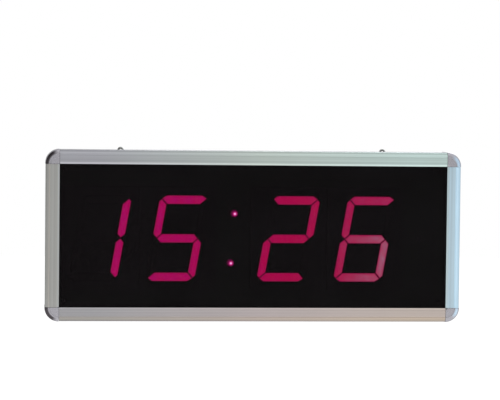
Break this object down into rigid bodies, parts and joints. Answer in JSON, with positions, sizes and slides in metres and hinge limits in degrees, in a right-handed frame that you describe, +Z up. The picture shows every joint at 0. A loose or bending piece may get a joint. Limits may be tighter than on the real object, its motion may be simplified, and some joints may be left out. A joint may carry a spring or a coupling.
{
  "type": "gym round timer",
  "caption": "Wall-hung LED round timer: slanted red digits and a colon behind a smoked panel in a rounded aluminium frame, with hanging rings on its back.",
  "frame": {"origin": "middle of the rear cover's outer face, which lies in the plane of the rails' rear edges", "axes": "+X to the right seen from the front, along the long side; +Y out of the back, into the wall; +Z up"},
  "size_m": [0.4968, 0.0458, 0.2066],
  "materials": {
    "anodised_aluminium": "satin anodised extrusion with fine lines along it",
    "painted_casting": "silver paint on a cast corner",
    "smoked_acrylic": "polished, dark tint",
    "module_housing": "fine moulded black face",
    "segment_resin": "tinted cast resin, lit from behind",
    "lamp_resin": "clear tinted resin, lit",
    "eye_resin": "dark moulded resin",
    "circuit_board": "green solder mask",
    "nylon": "natural moulded nylon",
    "black_plastic": "fine moulded texture",
    "cell_steel": "plain nickel-plated",
    "ribbon_pvc": "ribbed flat cable",
    "powder_coated_sheet": "black powder coat, fine texture",
    "zinc_plated_steel": "bright zinc plate"
  },
  "bodies": {
    "housing": {"battery_holder": "black_plastic", "coin_cell": "cell_steel", "colon_lamp_lower": "lamp_resin", "colon_lamp_upper": "lamp_resin", "control_board": "circuit_board", "control_support_1": "nylon", "control_support_2": "nylon", "control_support_3": "nylon", "control_support_4": "nylon", "corner_bottom_left": "painted_casting", "corner_bottom_right": "painted_casting", "corner_top_left": "painted_casting", "corner_top_right": "painted_casting", "cover_screw_1": "zinc_plated_steel", "cover_screw_2": "zinc_plated_steel", "cover_screw_3": "zinc_plated_steel", "cover_screw_4": "zinc_plated_steel", "cover_screw_5": "zinc_plated_steel", "cover_screw_6": "zinc_plated_steel", "dc_jack": "black_plastic", "dc_jack_nut": "zinc_plated_steel", "dc_jack_pin": "zinc_plated_steel", "digit_housing_1": "module_housing", "digit_housing_2": "module_housing", "digit_housing_3": "module_housing", "digit_housing_4": "module_housing", "digit_segments_1": "segment_resin", "digit_segments_2": "segment_resin", "digit_segments_3": "segment_resin", "digit_segments_4": "segment_resin", "display_board": "circuit_board", "display_support_1": "nylon", "display_support_2": "nylon", "display_support_3": "nylon", "display_support_4": "nylon", "front_panel": "smoked_acrylic", "hanger_screw_left": "zinc_plated_steel", "hanger_screw_right": "zinc_plated_steel", "hanger_strap_left": "zinc_plated_steel", "hanger_strap_right": "zinc_plated_steel", "key_switch_1": "black_plastic", "key_switch_2": "black_plastic", "key_switch_3": "black_plastic", "rail_bottom": "anodised_aluminium", "rail_left": "anodised_aluminium", "rail_right": "anodised_aluminium", "rail_top": "anodised_aluminium", "rear_cover": "powder_coated_sheet", "remote_eye": "eye_resin", "ribbon_cable": "ribbon_pvc", "rocker_body": "black_plastic", "sounder": "black_plastic"},
    "key_cap_1": {"key_cap_1": "black_plastic"},
    "key_cap_2": {"key_cap_2": "black_plastic"},
    "key_cap_3": {"key_cap_3": "black_plastic"},
    "power_rocker": {"power_rocker": "black_plastic"},
    "hanger_ring_left": {"hanger_ring_left": "zinc_plated_steel"},
    "hanger_ring_right": {"hanger_ring_right": "zinc_plated_steel"}
  },
  "joints": [
    {"name": "key_1_press", "type": "slide", "parent": "housing", "child": "key_cap_1", "axis": [0, -1, 0], "range_m": [0, 0.0005], "stiffness_N_per_m": 400},
    {"name": "key_2_press", "type": "slide", "parent": "housing", "child": "key_cap_2", "axis": [0, -1, 0], "range_m": [0, 0.0005], "stiffness_N_per_m": 400},
    {"name": "key_3_press", "type": "slide", "parent": "housing", "child": "key_cap_3", "axis": [0, -1, 0], "range_m": [0, 0.0005], "stiffness_N_per_m": 400},
    {"name": "power_rocker_tilt", "type": "hinge", "parent": "housing", "child": "power_rocker", "pos_m": [0.12, -0.002, -0.055], "axis": [-1, 0, 0], "range_deg": [0, 16]},
    {"name": "hanger_ring_left_swing", "type": "hinge", "parent": "housing", "child": "hanger_ring_left", "pos_m": [-0.1585, 0.00285, 0.0935], "axis": [-1, 0, 0], "range_deg": [0, 150]},
    {"name": "hanger_ring_right_swing", "type": "hinge", "parent": "housing", "child": "hanger_ring_right", "pos_m": [0.1585, 0.00285, 0.0935], "axis": [-1, 0, 0], "range_deg": [0, 150]}
  ]
}
